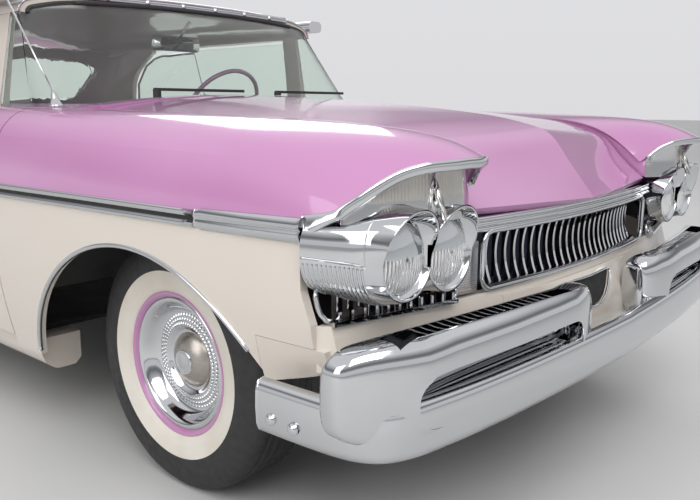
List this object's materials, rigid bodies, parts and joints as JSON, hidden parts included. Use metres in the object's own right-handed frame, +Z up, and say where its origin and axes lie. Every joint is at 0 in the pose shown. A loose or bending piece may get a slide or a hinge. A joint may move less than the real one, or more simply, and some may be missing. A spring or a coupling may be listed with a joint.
{
  "type": "two-door hardtop car of the late 1950s",
  "caption": "Full-size 1950s hardtop with quad lamps under hooded brows, a curved bar grille, twin scoop bumper pods and opening doors, hood and boot.",
  "frame": {"origin": "on the floor under the middle of the car's length and width", "axes": "+X forward, +Y to the car's left, +Z up"},
  "size_m": [5.4, 2.06, 1.4364],
  "materials": {
    "paint_pink": "lilac-pink gloss enamel",
    "paint_two_tone": "gloss enamel, lilac-pink above the side moulding and warm white below",
    "paint_white": "warm white gloss enamel",
    "chrome": "bright chrome plate",
    "lens": "clear fluted lamp glass",
    "red_lens": "red lamp plastic",
    "glass": "lightly green tinted glass",
    "interior_paint": "grey-green interior enamel and plastic",
    "seat_cloth": "grey woven cloth with vinyl bolsters",
    "underbody": "satin black chassis paint",
    "engine_iron": "painted cast iron",
    "tyre": "black tyre with a cream white band",
    "wheel_chrome": "chrome wheel cover on a lilac rim"
  },
  "bodies": {
    "body": {"air_ducts": "chrome", "antenna": "chrome", "chassis_frame": "underbody", "cowl": "paint_pink", "dashboard": "interior_paint", "driveline": "underbody", "engine": "engine_iron", "exhaust": "underbody", "floor_pan": "underbody", "front_bumper": "chrome", "front_fender_left": "paint_two_tone", "front_fender_right": "paint_two_tone", "front_seat": "seat_cloth", "front_suspension": "underbody", "front_valance": "paint_white", "fuel_tank": "underbody", "grille": "chrome", "headlamps": "lens", "lamp_pod_left": "chrome", "lamp_pod_right": "chrome", "quarter_panel_left": "paint_two_tone", "quarter_panel_right": "paint_two_tone", "rear_axle": "underbody", "rear_bumper": "chrome", "rear_deck": "paint_pink", "rear_seat": "seat_cloth", "rear_windows": "glass", "rockers": "paint_white", "roof": "paint_white", "steering_column": "interior_paint", "tail_lamps": "red_lens", "tail_panel": "paint_white", "wheelhouses": "underbody", "windshield": "glass", "wipers": "chrome"},
    "door_left": {"door_left": "paint_two_tone", "door_glass_left": "glass"},
    "knuckle_left": {"knuckle_left": "underbody"},
    "wheel_front_left": {"tyre_front_left": "tyre", "wheel_front_left": "wheel_chrome"},
    "wheel_rear_left": {"tyre_rear_left": "tyre", "wheel_rear_left": "wheel_chrome"},
    "door_right": {"door_right": "paint_two_tone", "door_glass_right": "glass"},
    "knuckle_right": {"knuckle_right": "underbody"},
    "wheel_front_right": {"tyre_front_right": "tyre", "wheel_front_right": "wheel_chrome"},
    "wheel_rear_right": {"tyre_rear_right": "tyre", "wheel_rear_right": "wheel_chrome"},
    "hood": {"hood": "paint_pink"},
    "trunk_lid": {"trunk_lid": "paint_pink"},
    "steering_wheel": {"steering_wheel": "interior_paint"}
  },
  "joints": [
    {"name": "door_left_hinge", "type": "hinge", "parent": "body", "child": "door_left", "pos_m": [1.147, 1.016, 0.6], "axis": [0, 0, -1], "range_deg": [0, 65]},
    {"name": "door_right_hinge", "type": "hinge", "parent": "body", "child": "door_right", "pos_m": [1.147, -1.016, 0.6], "axis": [0, 0, 1], "range_deg": [0, 65]},
    {"name": "hood_hinge", "type": "hinge", "parent": "body", "child": "hood", "pos_m": [1.19, 0, 1.075], "axis": [0, -1, 0], "range_deg": [0, 50]},
    {"name": "trunk_hinge", "type": "hinge", "parent": "body", "child": "trunk_lid", "pos_m": [-1.392, 0, 1.03], "axis": [0, 1, 0], "range_deg": [0, 60]},
    {"name": "steer_left", "type": "hinge", "parent": "body", "child": "knuckle_left", "pos_m": [1.8, 0.69, 0.348], "axis": [0, 0, 1], "range_deg": [-30, 30]},
    {"name": "steer_right", "type": "hinge", "parent": "body", "child": "knuckle_right", "pos_m": [1.8, -0.69, 0.348], "axis": [0, 0, 1], "range_deg": [-30, 30]},
    {"name": "steering_wheel_turn", "type": "hinge", "parent": "body", "child": "steering_wheel", "pos_m": [0.56, 0.37, 1.01], "axis": [-0.848, 0, 0.53], "range_deg": [-540, 540]},
    {"name": "roll_front_left", "type": "hinge", "parent": "knuckle_left", "child": "wheel_front_left", "pos_m": [1.8, 0.755, 0.348], "axis": [0, 1, 0], "continuous": true},
    {"name": "roll_front_right", "type": "hinge", "parent": "knuckle_right", "child": "wheel_front_right", "pos_m": [1.8, -0.755, 0.348], "axis": [0, 1, 0], "continuous": true},
    {"name": "roll_rear_left", "type": "hinge", "parent": "body", "child": "wheel_rear_left", "pos_m": [-1.299, 0.755, 0.348], "axis": [0, 1, 0], "continuous": true},
    {"name": "roll_rear_right", "type": "hinge", "parent": "body", "child": "wheel_rear_right", "pos_m": [-1.299, -0.755, 0.348], "axis": [0, 1, 0], "continuous": true}
  ],
  "couplings": [
    {"joint": "steer_right", "follows": "steer_left", "ratio": 1},
    {"joint": "steering_wheel_turn", "follows": "steer_left", "ratio": 18}
  ]
}
